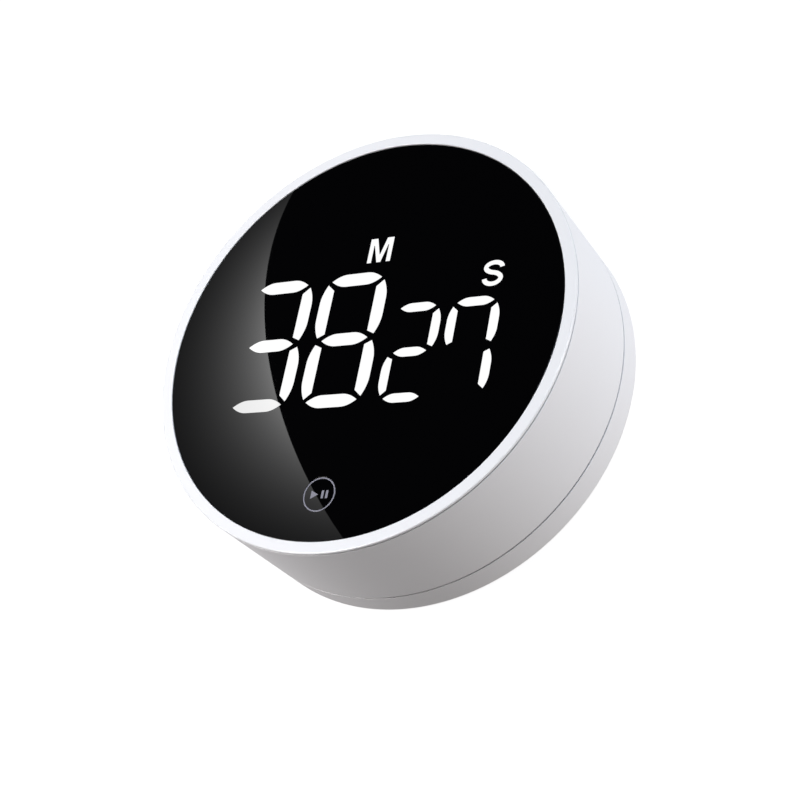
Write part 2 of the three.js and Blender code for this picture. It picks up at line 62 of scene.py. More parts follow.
def addNode(tree, kind, settings=None, links=None):
    # a node with its properties or input values set, and its inputs linked to sockets
    node = tree.nodes.new(kind)
    for key, value in (settings or {}).items():
        if isinstance(key, str) and hasattr(node, key):
            setattr(node, key, value)
        else:
            node.inputs[key].default_value = value
    for key, socket in (links or {}).items():
        tree.links.new(socket, node.inputs[key])
    return node


def newMaterial(name):
    material = bpy.data.materials.new(name)
    material.use_nodes = True
    tree = material.node_tree
    tree.nodes.clear()
    return material, tree


def finishMaterial(tree, shader):
    addNode(tree, "ShaderNodeOutputMaterial", links={"Surface": shader.outputs[0]})


def meshPiece(name, vertices, faces, material, smoothAngle=30):
    mesh = bpy.data.meshes.new(name)
    mesh.from_pydata(np.asarray(vertices).tolist(), [], [list(face) for face in faces])
    mesh.update()
    piece = bpy.data.objects.new(name, mesh)
    bpy.context.scene.collection.objects.link(piece)
    mesh.materials.append(material)
    mesh.shade_smooth()
    mesh.set_sharp_from_angle(angle=math.radians(smoothAngle))
    return piece


def gridFaces(rows, columns, closeRows=True, closeColumns=True):
    # quads of a grid whose vertices are numbered row by row
    lastRow = rows if closeRows else rows - 1
    lastColumn = columns if closeColumns else columns - 1
    row, column = np.meshgrid(np.arange(lastRow), np.arange(lastColumn), indexing="ij")
    nextRow = (row + 1) % rows
    nextColumn = (column + 1) % columns
    corners = [row * columns + column, nextRow * columns + column,
               nextRow * columns + nextColumn, row * columns + nextColumn]
    return np.stack(corners, -1).reshape(-1, 4)


def filletPath(corners, steps=6, support=0.03):
    # closed outline: each corner (x, y, radius) becomes an arc between its tangent points,
    # with one more point just outside each tangent point, so that the flats shade flat
    points = np.array([corner[:2] for corner in corners], float)
    path = []
    for i, corner in enumerate(corners):
        radius = corner[2] if len(corner) > 2 else 0
        here = points[i]
        back = points[i - 1] - here
        ahead = points[(i + 1) % len(points)] - here
        back /= np.linalg.norm(back)
        ahead /= np.linalg.norm(ahead)
        if radius == 0:
            path.append(here[None])
            continue
        halfAngle = math.acos(np.clip(back @ ahead, -1, 1)) / 2
        reach = radius / math.tan(halfAngle)
        centre = here + (back + ahead) / np.linalg.norm(back + ahead) * radius / math.sin(halfAngle)
        start = here + back * reach - centre
        end = here + ahead * reach - centre
        turn = math.atan2(start[0] * end[1] - start[1] * end[0], start @ end)
        angles = np.linspace(0, turn, steps + 1)[:, None]
        across = np.array([-start[1], start[0]])
        arc = centre + np.cos(angles) * start + np.sin(angles) * across
        path += [(arc[0] + back * support)[None], arc, (arc[-1] + ahead * support)[None]]
    return np.concatenate(path)


def turnProfile(profile, segments=256, centre=(0, 0)):
    # surface of revolution: x = r cos a, y = r sin a, z from a closed (r, z) profile, in mm
    angle = np.linspace(0, 2 * math.pi, segments, endpoint=False)[:, None]
    radius = profile[None, :, 0]
    height = np.broadcast_to(profile[None, :, 1], (segments, len(profile)))
    vertices = np.stack([centre[0] + radius * np.cos(angle), centre[1] + radius * np.sin(angle), height], -1)
    return vertices.reshape(-1, 3) * mm, gridFaces(segments, len(profile))


def roundedOutline(halfX, halfY, radius, steps=8):
    # closed rounded rectangle, anticlockwise
    corner = np.linspace(0, math.pi / 2, steps + 1)
    quarters = []
    for i, (signX, signY) in enumerate([(1, 1), (-1, 1), (-1, -1), (1, -1)]):
        angle = corner + i * math.pi / 2
        x = signX * (halfX - radius) + radius * np.cos(angle)
        y = signY * (halfY - radius) + radius * np.sin(angle)
        quarters.append(np.stack([x, y], -1))
    return np.concatenate(quarters)


def stackOutlines(outlines, heights):
    # closed solid through outlines with equal point counts, one above another, in mm
    count = len(outlines[0])
    layers = [np.column_stack([outline, np.full(count, height)])
              for outline, height in zip(outlines, heights)]
    vertices = np.concatenate(layers) * mm
    sides = gridFaces(len(layers), count, closeRows=False)[:, ::-1]
    bottom = np.arange(count)[::-1]
    top = np.arange(count) + count * (len(layers) - 1)
    return vertices, [*sides, bottom, top]


def prism(halfX, halfY, radius, bottom, top, centre=(0, 0), steps=8):
    # upright block with a rounded rectangle as its outline
    outline = roundedOutline(halfX, halfY, radius, steps) + centre
    return stackOutlines([outline, outline], [bottom, top])


def joinShapes(shapes):
    # several (vertices, faces) shapes as one
    vertices, faces, count = [], [], 0
    for shapeVertices, shapeFaces in shapes:
        vertices.append(shapeVertices)
        faces += [np.asarray(face) + count for face in shapeFaces]
        count += len(shapeVertices)
    return np.concatenate(vertices), faces


def applied(piece):
    # the piece's mesh with its modifiers applied
    depsgraph = bpy.context.evaluated_depsgraph_get()
    mesh = bpy.data.meshes.new_from_object(piece.evaluated_get(depsgraph))
    old = piece.data
    piece.modifiers.clear()
    piece.data = mesh
    bpy.data.meshes.remove(old)
    return piece


def carve(piece, tools, operation="DIFFERENCE"):
    # cuts the tool shapes out of the piece, or joins them to it, one by one
    for vertices, faces in tools:
        tool = meshPiece("tool", vertices, faces, piece.data.materials[0])
        cut = piece.modifiers.new("cut", "BOOLEAN")
        cut.operation = operation
        cut.solver = "EXACT"
        cut.object = tool
        applied(piece)
        bpy.data.objects.remove(tool)
    return piece


def crispEdges(piece, smoothAngle=30):
    # flats keep their own normals next to small rounds
    piece.data.shade_smooth()
    piece.data.set_sharp_from_angle(angle=math.radians(smoothAngle))
    weighted = piece.modifiers.new("weighted", "WEIGHTED_NORMAL")
    weighted.keep_sharp = True
    return applied(piece)


def place(piece, body, slot, *nodes):
    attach(piece, body)
    if nodes:
        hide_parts(*nodes)
    return piece


# Materials

def mouldedPlastic(name, hexColour, roughness, grainMm, grainDepthMm, mottle=0.012):
    # moulded ABS, nylon or acetal: the mould's spark-eroded grain spreads the gloss, and thick and thin
    # walls cool to slightly different shades
    material, tree = newMaterial(name)
    coordinates = addNode(tree, "ShaderNodeTexCoord").outputs["Object"]
    cloud = addNode(tree, "ShaderNodeTexNoise", {"Scale": 1 / (14 * mm), "Detail": 3.0},
                    {"Vector": coordinates})
    colour = linearFromHex(hexColour)
    darker = tuple(channel * (1 - 2 * mottle) for channel in colour[:3]) + (1.0,)
    tint = addNode(tree, "ShaderNodeMix", {"data_type": "RGBA", 6: darker, 7: colour},
                   {0: cloud.outputs["Fac"]})
    grain = addNode(tree, "ShaderNodeTexNoise", {"Scale": 1 / (grainMm * mm), "Detail": 2.0},
                    {"Vector": coordinates})
    gloss = addNode(tree, "ShaderNodeMapRange", {"To Min": roughness - 0.04, "To Max": roughness + 0.04},
                    {"Value": grain.outputs["Fac"]})
    bump = addNode(tree, "ShaderNodeBump", {"Strength": 0.5, "Distance": grainDepthMm * mm},
                   {"Height": grain.outputs["Fac"]})
    shader = addNode(tree, "ShaderNodeBsdfPrincipled", {"IOR": 1.53},
                     {"Base Color": tint.outputs[2], "Roughness": gloss.outputs[0],
                      "Normal": bump.outputs[0]})
    finishMaterial(tree, shader)
    return material


def polishedAcrylic(name, hexColour):
    # smoked acrylic sheet, printed black on its back: a deep black with a mirror-like face, which is
    # only as flat as cast sheet is, and has the faintest wiping haze
    material, tree = newMaterial(name)
    coordinates = addNode(tree, "ShaderNodeTexCoord").outputs["Object"]
    haze = addNode(tree, "ShaderNodeTexNoise", {"Scale": 1 / (9 * mm), "Detail": 4.0, "Roughness": 0.6},
                   {"Vector": coordinates})
    gloss = addNode(tree, "ShaderNodeMapRange", {"To Min": 0.002, "To Max": 0.014},
                    {"Value": haze.outputs["Fac"]})
    shader = addNode(tree, "ShaderNodeBsdfPrincipled",
                     {"Base Color": linearFromHex(hexColour), "IOR": 1.49},
                     {"Roughness": gloss.outputs[0]})
    finishMaterial(tree, shader)
    return material


def litWindow(name, hexColour, strength):
    # a window of milky film with light-emitting diodes behind it: even and white, under the same
    # polished face as the rest of the sheet
    material, tree = newMaterial(name)
    shader = addNode(tree, "ShaderNodeBsdfPrincipled",
                     {"Base Color": linearFromHex("#101010"), "IOR": 1.49, "Roughness": 0.03,
                      "Emission Color": linearFromHex(hexColour), "Emission Strength": strength})
    finishMaterial(tree, shader)
    return material


def printedInk(name, hexColour, roughness=0.35):
    # screen-printed ink: a thin, slightly uneven film
    material, tree = newMaterial(name)
    coordinates = addNode(tree, "ShaderNodeTexCoord").outputs["Object"]
    speckle = addNode(tree, "ShaderNodeTexNoise", {"Scale": 1 / (0.3 * mm), "Detail": 3.0},
                      {"Vector": coordinates})
    colour = linearFromHex(hexColour)
    thin = tuple(channel * 0.85 for channel in colour[:3]) + (1.0,)
    tint = addNode(tree, "ShaderNodeMix", {"data_type": "RGBA", 6: thin, 7: colour},
                   {0: speckle.outputs["Fac"]})
    shader = addNode(tree, "ShaderNodeBsdfPrincipled", {"IOR": 1.49, "Roughness": roughness},
                     {"Base Color": tint.outputs[2]})
    finishMaterial(tree, shader)
    return material


def siliconeRubber(name, hexColour):
    # moulded silicone: soft and dull, with a fine grit-blasted face and a little sheen at a low angle
    material, tree = newMaterial(name)
    coordinates = addNode(tree, "ShaderNodeTexCoord").outputs["Object"]
    grit = addNode(tree, "ShaderNodeTexNoise", {"Scale": 1 / (0.25 * mm), "Detail": 3.0},
                   {"Vector": coordinates})
    bump = addNode(tree, "ShaderNodeBump", {"Strength": 0.6, "Distance": 0.02 * mm},
                   {"Height": grit.outputs["Fac"]})
    colour = linearFromHex(hexColour)
    darker = tuple(channel * 0.88 for channel in colour[:3]) + (1.0,)
    tint = addNode(tree, "ShaderNodeMix", {"data_type": "RGBA", 6: darker, 7: colour},
                   {0: grit.outputs["Fac"]})
    shader = addNode(tree, "ShaderNodeBsdfPrincipled",
                     {"IOR": 1.41, "Roughness": 0.75, "Sheen Weight": 0.15, "Sheen Roughness": 0.4},
                     {"Base Color": tint.outputs[2], "Normal": bump.outputs[0]})
    finishMaterial(tree, shader)
    return material


def platedMetal(name, hexColour, roughness, scratchMm):
    # plated sheet or wire: bright, with fine drawing and handling marks
    material, tree = newMaterial(name)
    coordinates = addNode(tree, "ShaderNodeTexCoord").outputs["Object"]
    marks = addNode(tree, "ShaderNodeTexNoise", {"Scale": 1 / (scratchMm * mm), "Detail": 4.0},
                    {"Vector": coordinates})
    gloss = addNode(tree, "ShaderNodeMapRange", {"To Min": roughness - 0.06, "To Max": roughness + 0.08},
                    {"Value": marks.outputs["Fac"]})
    colour = linearFromHex(hexColour)
    dull = tuple(channel * 0.9 for channel in colour[:3]) + (1.0,)
    tint = addNode(tree, "ShaderNodeMix", {"data_type": "RGBA", 6: dull, 7: colour},
                   {0: marks.outputs["Fac"]})
    shader = addNode(tree, "ShaderNodeBsdfPrincipled", {"Metallic": 1.0},
                     {"Base Color": tint.outputs[2], "Roughness": gloss.outputs[0]})
    finishMaterial(tree, shader)
    return material


def solderMaskedBoard(name, hexColour):
    # glass-epoxy board under solder mask: a glossy green coat, raised a little over its copper. Copper is
    # where the second-nearest point of a 2.2 mm lattice is far off, and bare pads are small squares round
    # the points of a 3.4 mm lattice
    material, tree = newMaterial(name)
    coordinates = addNode(tree, "ShaderNodeTexCoord").outputs["Object"]
    tracks = addNode(tree, "ShaderNodeTexVoronoi",
                     {"distance": "CHEBYCHEV", "feature": "F2", "Scale": 1 / (2.2 * mm), "Randomness": 0.75},
                     {"Vector": coordinates})
    copper = addNode(tree, "ShaderNodeMapRange", {"From Min": 0.62, "From Max": 0.66},
                     {"Value": tracks.outputs["Distance"]})
    colour = linearFromHex(hexColour)
    overCopper = tuple(channel * 1.6 for channel in colour[:3]) + (1.0,)
    tint = addNode(tree, "ShaderNodeMix", {"data_type": "RGBA", 6: colour, 7: overCopper},
                   {0: copper.outputs[0]})
    pads = addNode(tree, "ShaderNodeTexVoronoi",
                   {"distance": "CHEBYCHEV", "Scale": 1 / (3.4 * mm), "Randomness": 0.4},
                   {"Vector": coordinates})
    bare = addNode(tree, "ShaderNodeMath", {"operation": "LESS_THAN", 1: 0.14},
                   {0: pads.outputs["Distance"]})
    surface = addNode(tree, "ShaderNodeMix", {"data_type": "RGBA", 7: linearFromHex("#c9c6b6")},
                      {0: bare.outputs[0], 6: tint.outputs[2]})
    bump = addNode(tree, "ShaderNodeBump", {"Strength": 0.4, "Distance": 0.03 * mm},
                   {"Height": copper.outputs[0]})
    shader = addNode(tree, "ShaderNodeBsdfPrincipled", {"IOR": 1.5, "Roughness": 0.3},
                     {"Base Color": surface.outputs[2], "Metallic": bare.outputs[0],
                      "Normal": bump.outputs[0]})
    finishMaterial(tree, shader)
    return material


def filmSheet(name, hexColour, roughness, cloudMm):
    # thin plastic film: a milky or dark sheet whose haze drifts slowly across it
    material, tree = newMaterial(name)
    coordinates = addNode(tree, "ShaderNodeTexCoord").outputs["Object"]
    haze = addNode(tree, "ShaderNodeTexNoise", {"Scale": 1 / (cloudMm * mm), "Detail": 3.0},
                   {"Vector": coordinates})
    colour = linearFromHex(hexColour)
    thin = tuple(channel * 0.92 for channel in colour[:3]) + (1.0,)
    tint = addNode(tree, "ShaderNodeMix", {"data_type": "RGBA", 6: thin, 7: colour},
                   {0: haze.outputs["Fac"]})
    gloss = addNode(tree, "ShaderNodeMapRange", {"To Min": roughness - 0.06, "To Max": roughness + 0.06},
                    {"Value": haze.outputs["Fac"]})
    shader = addNode(tree, "ShaderNodeBsdfPrincipled", {"IOR": 1.57},
                     {"Base Color": tint.outputs[2], "Roughness": gloss.outputs[0]})
    finishMaterial(tree, shader)
    return material


def flatCable(name, filmHex, copperHex, pitchMm):
    # polyimide ribbon: amber film over straight copper tracks that run along Z, side by side across Y.
    # Copper shows where the sine of y at the track pitch is above zero
    material, tree = newMaterial(name)
    coordinates = addNode(tree, "ShaderNodeTexCoord").outputs["Object"]
    tracks = addNode(tree, "ShaderNodeTexWave",
                     {"bands_direction": "Y", "Scale": 0.314 / (pitchMm * mm), "Detail": 0.0},
                     {"Vector": coordinates})
    copper = addNode(tree, "ShaderNodeMapRange", {"From Min": 0.45, "From Max": 0.55},
                     {"Value": tracks.outputs["Fac"]})
    tint = addNode(tree, "ShaderNodeMix",
                   {"data_type": "RGBA", 6: linearFromHex(filmHex), 7: linearFromHex(copperHex)},
                   {0: copper.outputs[0]})
    bump = addNode(tree, "ShaderNodeBump", {"Strength": 0.3, "Distance": 0.02 * mm},
                   {"Height": copper.outputs[0]})
    shader = addNode(tree, "ShaderNodeBsdfPrincipled", {"IOR": 1.6, "Roughness": 0.3},
                     {"Base Color": tint.outputs[2], "Normal": bump.outputs[0]})
    finishMaterial(tree, shader)
    return material


def shrinkSleeve(name, bodyHex, bandHex):
    # printed PVC sleeve of a battery cell: glossy ink in two flat colours. "along" runs from 0 at the
    # flat end to 1 at the button, and the paler band covers its last third
    material, tree = newMaterial(name)
    along = addNode(tree, "ShaderNodeAttribute", {"attribute_name": "along"})
    band = addNode(tree, "ShaderNodeMapRange", {"From Min": 0.655, "From Max": 0.66},
                   {"Value": along.outputs["Fac"]})
    tint = addNode(tree, "ShaderNodeMix",
                   {"data_type": "RGBA", 6: linearFromHex(bodyHex), 7: linearFromHex(bandHex)},
                   {0: band.outputs[0]})
    coordinates = addNode(tree, "ShaderNodeTexCoord").outputs["Object"]
    ripple = addNode(tree, "ShaderNodeTexNoise", {"Scale": 1 / (3 * mm), "Detail": 2.0},
                     {"Vector": coordinates})
    bump = addNode(tree, "ShaderNodeBump", {"Strength": 0.25, "Distance": 0.05 * mm},
                   {"Height": ripple.outputs["Fac"]})
    shader = addNode(tree, "ShaderNodeBsdfPrincipled", {"IOR": 1.54, "Roughness": 0.25},
                     {"Base Color": tint.outputs[2], "Normal": bump.outputs[0]})
    finishMaterial(tree, shader)
    return material


satinWhiteAbs = mouldedPlastic("satinWhiteAbs", "#f3f3f6", 0.42, 0.22, 0.004)  # soft, even white
glossWhiteAbs = mouldedPlastic("glossWhiteAbs", "#f8f9fc", 0.17, 0.5, 0.001, mottle=0.004)
blackAbs = mouldedPlastic("blackAbs", "#1c1c1e", 0.45, 0.2, 0.008, mottle=0.05)
smokedAcrylic = polishedAcrylic("smokedAcrylic", "#040405")
litSegmentFilm = litWindow("litSegmentFilm", "#ffffff", 1.0)
greyInk = printedInk("greyInk", "#8e8e9b")
greySilicone = siliconeRubber("greySilicone", "#6b6c70")
zincSteel = platedMetal("zincSteel", "#c4c7cc", 0.28, 0.6)
nickelPlate = platedMetal("nickelPlate", "#d3cfc4", 0.2, 1.2)
# the same lit film at lower strength, for one bar drawn dimmer as painted shade
paintedShadeSegmentFilm = litWindow("paintedShadeSegmentFilm", "#ffffff", 0.78)
greyAbs = mouldedPlastic("greyAbs", "#b9babd", 0.5, 0.25, 0.008, mottle=0.03)
glassFilledNylon = mouldedPlastic("glassFilledNylon", "#222326", 0.52, 0.12, 0.012, mottle=0.08)
acetal = mouldedPlastic("acetal", "#e9e7df", 0.3, 0.6, 0.004, mottle=0.02)
# near-black film for the seam rings: painted shade
seamShadeFilm = filmSheet("seamShadeFilm", "#1b1b1d", 0.5, 3)
blackFoamTape = filmSheet("blackFoamTape", "#161617", 0.8, 0.6)
milkyPolyester = filmSheet("milkyPolyester", "#eceef0", 0.35, 4)
greenBoard = solderMaskedBoard("greenBoard", "#1c5a35")
polyimideRibbon = flatCable("polyimideRibbon", "#a8641c", "#c98a4a", 1.0)
printedShrinkSleeve = shrinkSleeve("printedShrinkSleeve", "#2f4358", "#b9bdc2")
print("materials made")


# Camera

view = {
    "lensMm": 74.3,
    "azimuth": -40.27,  # degrees, from +X towards +Y
    "elevation": 46.9,
    "distanceMm": 272.1,
    "faceCentre": (0, 0, 25.55),
    "aim": (10.76, -13.04, 25.55),  # where the camera's axis meets the display
    "roll": -46.93,
}


def direction(azimuth, elevation):
    a, e = math.radians(azimuth), math.radians(elevation)
    return Vector((math.cos(e) * math.cos(a), math.cos(e) * math.sin(a), math.sin(e)))


def addCamera(values):
    data = bpy.data.cameras.new("camera")
    data.lens = values["lensMm"]
    data.sensor_width = 36
    data.clip_start = 0.01
    camera = bpy.data.objects.new("camera", data)
    bpy.context.scene.collection.objects.link(camera)
    towards = direction(values["azimuth"], values["elevation"])
    camera.location = (Vector(values["faceCentre"]) + towards * values["distanceMm"]) * mm
    aim = Vector(values["aim"]) * mm - camera.location
    turn = aim.to_track_quat("-Z", "Y") @ Quaternion((0, 0, 1), math.radians(values["roll"]))
    camera.rotation_euler = turn.to_euler()
    bpy.context.scene.camera = camera
    return camera


camera = addCamera(view)


# Front: lens and bezel

keyBox = np.array(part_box("key_cap")) / mm
keyAt = (keyBox[0] + keyBox[1])[:2] / 2
lens = {"top": 25.5, "thickness": 1.2, "radius": 36.9, "edge": 0.1, "keyHole": 3.0, "holeEdge": 0.03}


def makeLens(values):
    # a closed cross-section carried from the key hole to the rim. Each point lies between a point of
    # the hole's circle and the point of the rim's circle at the same angle: share 0 to 1
    top = values["top"]
    bottom = top - values["thickness"]
    width = values["radius"] - values["keyHole"]
    section = filletPath([(0, bottom), (width, bottom), (width, top, values["edge"]),
                          (0, top, values["holeEdge"])], support=0.02)
    segments = 256
    angle = np.linspace(0, 2 * math.pi, segments, endpoint=False)[:, None]
    share = section[None, :, 0] / width
    radius = values["keyHole"] + width * share
    centreX = keyAt[0] * (1 - share)
    centreY = keyAt[1] * (1 - share)
    x = centreX + radius * np.cos(angle)
    y = centreY + radius * np.sin(angle)
    z = np.broadcast_to(section[None, :, 1], x.shape)
    vertices = np.stack([x, y, z], -1).reshape(-1, 3) * mm
    return meshPiece("lensPanel", vertices, gridFaces(segments, len(section)), smokedAcrylic)


bezel = {"outer": 39.0, "bore": 36.99, "top": 25.6, "rim": 25.1, "outerRound": 0.22, "boreRound": 0.1,
         "neck": 37.6, "neckBottom": 23.3, "seat": 24.0, "skirtInner": 34.0, "skirtOuter": 35.2,
         "skirtBottom": 20.6}


def makeBezel(values):
    # closed profile turned about Z: narrow top ring, neck inside the sleeve, seat for the lens, skirt
    profile = filletPath([
        (values["skirtInner"], values["skirtBottom"], 0.2),
        (values["skirtOuter"], values["skirtBottom"], 0.2),
        (values["skirtOuter"], values["neckBottom"]), (values["neck"], values["neckBottom"], 0.1),
        (values["neck"], values["rim"]), (values["outer"], values["rim"], 0.08),
        (values["outer"], values["top"], values["outerRound"]),
        (values["bore"], values["top"], values["boreRound"]),
        (values["bore"], values["seat"]), (values["skirtInner"], values["seat"])])
    return meshPiece("bezelRing", *turnProfile(profile, 360), glossWhiteAbs)


place(makeLens(lens), "housing", "lens", "front_lens")
place(makeBezel(bezel), "housing", "bezel", "front_bezel")
print("lens and bezel made")


# Lit display

display = {
    "thickness": 0.3, "proud": 0.015,
    "bigDigits": {"centres": [-17.15, -2.44], "middle": -0.92, "row": 11.39, "column": 5.34, "sides": 5.73,
                  "stroke": 2.33, "end": 9.8, "mid": 8.95, "side": 10.2},
    "smallDigits": {"centres": [10.72, 21.27], "middle": -4.36, "row": 8.23, "column": 3.84, "sides": 4.13,
                    "stroke": 1.64, "end": 6.6, "mid": 6.08, "side": 6.93},
    "minutes": (1.06, 15.83), "seconds": (23.53, 8.81),
    "paintedShadeRow": "bottom",  # row of the first digit lit weaker than the rest: painted shade
}
litRows = {  # which bars of each digit are lit: top, middle, bottom, then the four uprights
    "3": "top middle bottom upperRight lowerRight",
    "8": "top middle bottom upperLeft upperRight lowerLeft lowerRight",
    "2": "top middle bottom upperRight lowerLeft",
    "7": "top upperLeft upperRight lowerRight",
}


def barOutline(length, stroke, tip=0.5, far=(1.27, 1.27, 2), near=(1.27, 1.27, 2), steps=12):
    # bar along x with pointed ends. tip is where the points lie across the stroke, 0 on the near side.
    # Each side is (run at the start, run at the end, power): it rises from the points as
    # 1 - (1 - d / run) ^ power, for run strokes, and is then straight
    half = length / 2
    rise = np.linspace(0, 1, steps)

    def side(shape, reach):
        startRun, endRun, power = shape
        across = (1 - (1 - rise) ** power) * reach
        first = np.column_stack([rise * startRun * stroke - half, across])
        last = np.column_stack([half - rise[::-1] * endRun * stroke, across[::-1]])
        return np.concatenate([first, last])
    nearSide = side(near, -tip * stroke)
    farSide = side(far, (1 - tip) * stroke)
    outline = np.concatenate([nearSide, farSide[::-1][1:-1]])
    outline[:, 1] += (tip - 0.5) * stroke
    return outline


def digitBars(values, centreX, lit):
    bars = []
    stroke, middle = values["stroke"], values["middle"]
    for name, offset, length in [("top", 1, values["end"]), ("middle", 0, values["mid"]),
                                 ("bottom", -1, values["end"])]:
        if name in lit:
            bars.append(barOutline(length, stroke) + [centreX, middle + offset * values["row"]])
    for name, signX, signY in [("upperLeft", -1, 1), ("upperRight", 1, 1), ("lowerLeft", -1, -1),
                               ("lowerRight", 1, -1)]:
        if name in lit:
            runs = (0.28, 0.5) if signY > 0 else (0.5, 0.28)
            bar = barOutline(values["side"], stroke, tip=0.57, far=(1.55, 1.55, 2), near=(*runs, 1))
            upright = np.column_stack([signX * bar[:, 1], bar[:, 0]])
            if signX > 0:
                upright = upright[::-1]
            bars.append(upright + [centreX + signX * values["column"], middle + signY * values["sides"]])
    return bars


def strokeOutline(centreLine, width):
    # a band of even width along a line of points
    along = np.gradient(centreLine, axis=0)
    along /= np.linalg.norm(along, axis=1)[:, None]
    across = np.column_stack([-along[:, 1], along[:, 0]]) * width / 2
    return np.concatenate([centreLine - across, (centreLine + across)[::-1]])


def letterM(centreX, centreY, width=4.5, height=4.7, stem=0.8):
    halfX, halfY = width / 2, height / 2
    foot = 0.38  # half of the flat foot of the middle stroke
    shoulder = 1.3  # width of each top corner
    counterTop = halfY - 1.35
    right = np.array([
        (halfX, -halfY), (halfX, halfY), (halfX - shoulder, halfY), (0.05, -halfY + 1.5)])
    inner = np.array([(foot, -halfY), (halfX - stem - 0.12, counterTop), (halfX - stem, counterTop),
                      (halfX - stem, -halfY)])
    left = right[::-1] * [-1, 1]
    innerLeft = inner[::-1] * [-1, 1]
    outline = np.concatenate([right, left, innerLeft, inner])
    return outline + [centreX, centreY]


def letterS(centreX, centreY, width=3.72, height=4.78, stroke=0.8, waist=0.11):
    # two half ellipses that meet at the waist, upper one from its right end round the left,
    # lower one back round the right
    reachX = (width - stroke) / 2
    half = (height - stroke) / 2
    reachUp, reachDown = (half - waist) / 2, (half + waist) / 2
    upper = np.radians(np.linspace(4, 262, 24))
    lower = np.radians(np.linspace(82, -176, 24))
    top = np.column_stack([reachX * np.cos(upper), waist + reachUp * (1 + np.sin(upper))])
    bottom = np.column_stack([reachX * np.cos(lower), waist - reachDown * (1 - np.sin(lower))])
    line = np.concatenate([top, bottom])
    line[:, 1] -= 0.12 * line[:, 0] * np.exp(-((line[:, 1] - waist) / 0.8) ** 2)
    return strokeOutline(line, stroke) + [centreX, centreY]


def makeDisplay(values, top):
    bottom, face = top - values["thickness"], top + values["proud"]

    def lit(name, outlines, material=litSegmentFilm):
        shapes = [stackOutlines([outline, outline], [bottom, face]) for outline in outlines]
        return place(meshPiece(name, *joinShapes(shapes), material), "housing", "diffuser")
    for size, groups in (("bigDigits", "38"), ("smallDigits", "27")):
        for centreX, figure in zip(values[size]["centres"], groups):
            rows = litRows[figure].split()
            # that row of the 3 gets the weaker film: painted shade, not a weaker diode
            if figure == "3":
                rows.remove(values["paintedShadeRow"])
                lit("paintedShadeRow_3", digitBars(values[size], centreX, [values["paintedShadeRow"]]), paintedShadeSegmentFilm)
            lit(f"litDigit_{figure}", digitBars(values[size], centreX, rows))
    lit("litMinutes", [letterM(*values["minutes"])])
    lit("litSeconds", [letterS(*values["seconds"])])


makeDisplay(display, lens["top"])
print("display made")


# Start and stop key

key = {"radius": 2.97, "ringInner": 2.72, "ringOuter": 2.95, "proud": 0.02, "flange": 3.8, "stem": 1.2,
       "stemBottom": 21.05, "flangeBottom": 23.0, "flangeTop": 24.1, "inlay": 0.1,
       "triangle": [(-1.55, -0.72), (-0.2, 0), (-1.55, 0.72)], "barCentres": (0.62, 1.42),
       "barHalf": (0.21, 0.68), "barCorner": 0.08}


def makeKey(values, at, top):
    profile = filletPath([
        (pole, values["stemBottom"]), (values["stem"], values["stemBottom"], 0.1),
        (values["stem"], values["flangeBottom"]), (values["flange"], values["flangeBottom"], 0.1),
        (values["flange"], values["flangeTop"], 0.1), (values["radius"], values["flangeTop"]),
        (values["radius"], top, 0.03), (pole, top)])
    cap = meshPiece("keyCap", *turnProfile(profile, 96, at), smokedAcrylic)
    place(cap, "key", "lens", "key_cap")
    under, face = top - values["inlay"], top + values["proud"]
    line = filletPath([
        (values["ringInner"], under), (values["ringOuter"], under), (values["ringOuter"], face, 0.02),
        (values["ringInner"], face, 0.02)], steps=2, support=0.005)
    rim = meshPiece("keyRim", *turnProfile(line, 96, at), greyInk)
    place(rim, "key", "lens")
    bars = [roundedOutline(*values["barHalf"], values["barCorner"], 3) + [x, 0] for x in values["barCentres"]]
    shapes = []
    for outline in [np.array(values["triangle"]), *bars]:
        moved = outline + at
        shapes.append(stackOutlines([moved, moved], [under, face]))
    place(meshPiece("keySymbol", *joinShapes(shapes), greyInk), "key", "lens")


makeKey(key, keyAt, lens["top"])
print("key made")


# Rotary sleeve with its internal gear

sleeve = {"outer": 39.0, "inner": 37.2, "lipInner": 37.9, "bottom": 6.05, "top": 24.8, "edge": 0.08,
          "lip": 23.1, "gearBottom": 6.3, "gearTop": 9.3, "teeth": 72, "root": 37.0, "tip": 35.2,
          "rootHalf": 0.21, "tipFrom": 0.375}


def makeSleeve(values):
    # profile turned about Z. Points of the gear band follow a tooth wave: root radius within 0.21 of a
    # pitch from each space's middle, tip radius beyond 0.375, straight flanks between
    profile = filletPath([
        (values["inner"], values["bottom"]), (values["outer"], values["bottom"], values["edge"]),
        (values["outer"], values["top"], values["edge"]), (values["lipInner"], values["top"], 0.1),
        (values["lipInner"], values["lip"]), (values["inner"], values["lip"]),
        (values["inner"], values["gearTop"]), (values["tip"], values["gearTop"]),
        (values["tip"], values["gearBottom"]), (values["inner"], values["gearBottom"])])
    stepsPerTooth = 10
    segments = values["teeth"] * stepsPerTooth
    vertices, faces = turnProfile(profile, segments)
    grid = vertices.reshape(segments, len(profile), 3)
    pitch = np.arange(segments) / stepsPerTooth
    fromSpace = np.abs(pitch - np.round(pitch))
    wave = np.interp(fromSpace, [values["rootHalf"], values["tipFrom"]], [values["root"], values["tip"]])
    inBand = np.isclose(profile[:, 0], values["tip"])
    scale = np.where(inBand[None, :], wave[:, None] / values["tip"], 1.0)
    grid[:, :, :2] *= scale[:, :, None]
    return meshPiece("sleeveRing", grid.reshape(-1, 3), faces, satinWhiteAbs, 25)


place(makeSleeve(sleeve), "ring", "sleeve", "rotary_sleeve")
print("sleeve made")


# Back

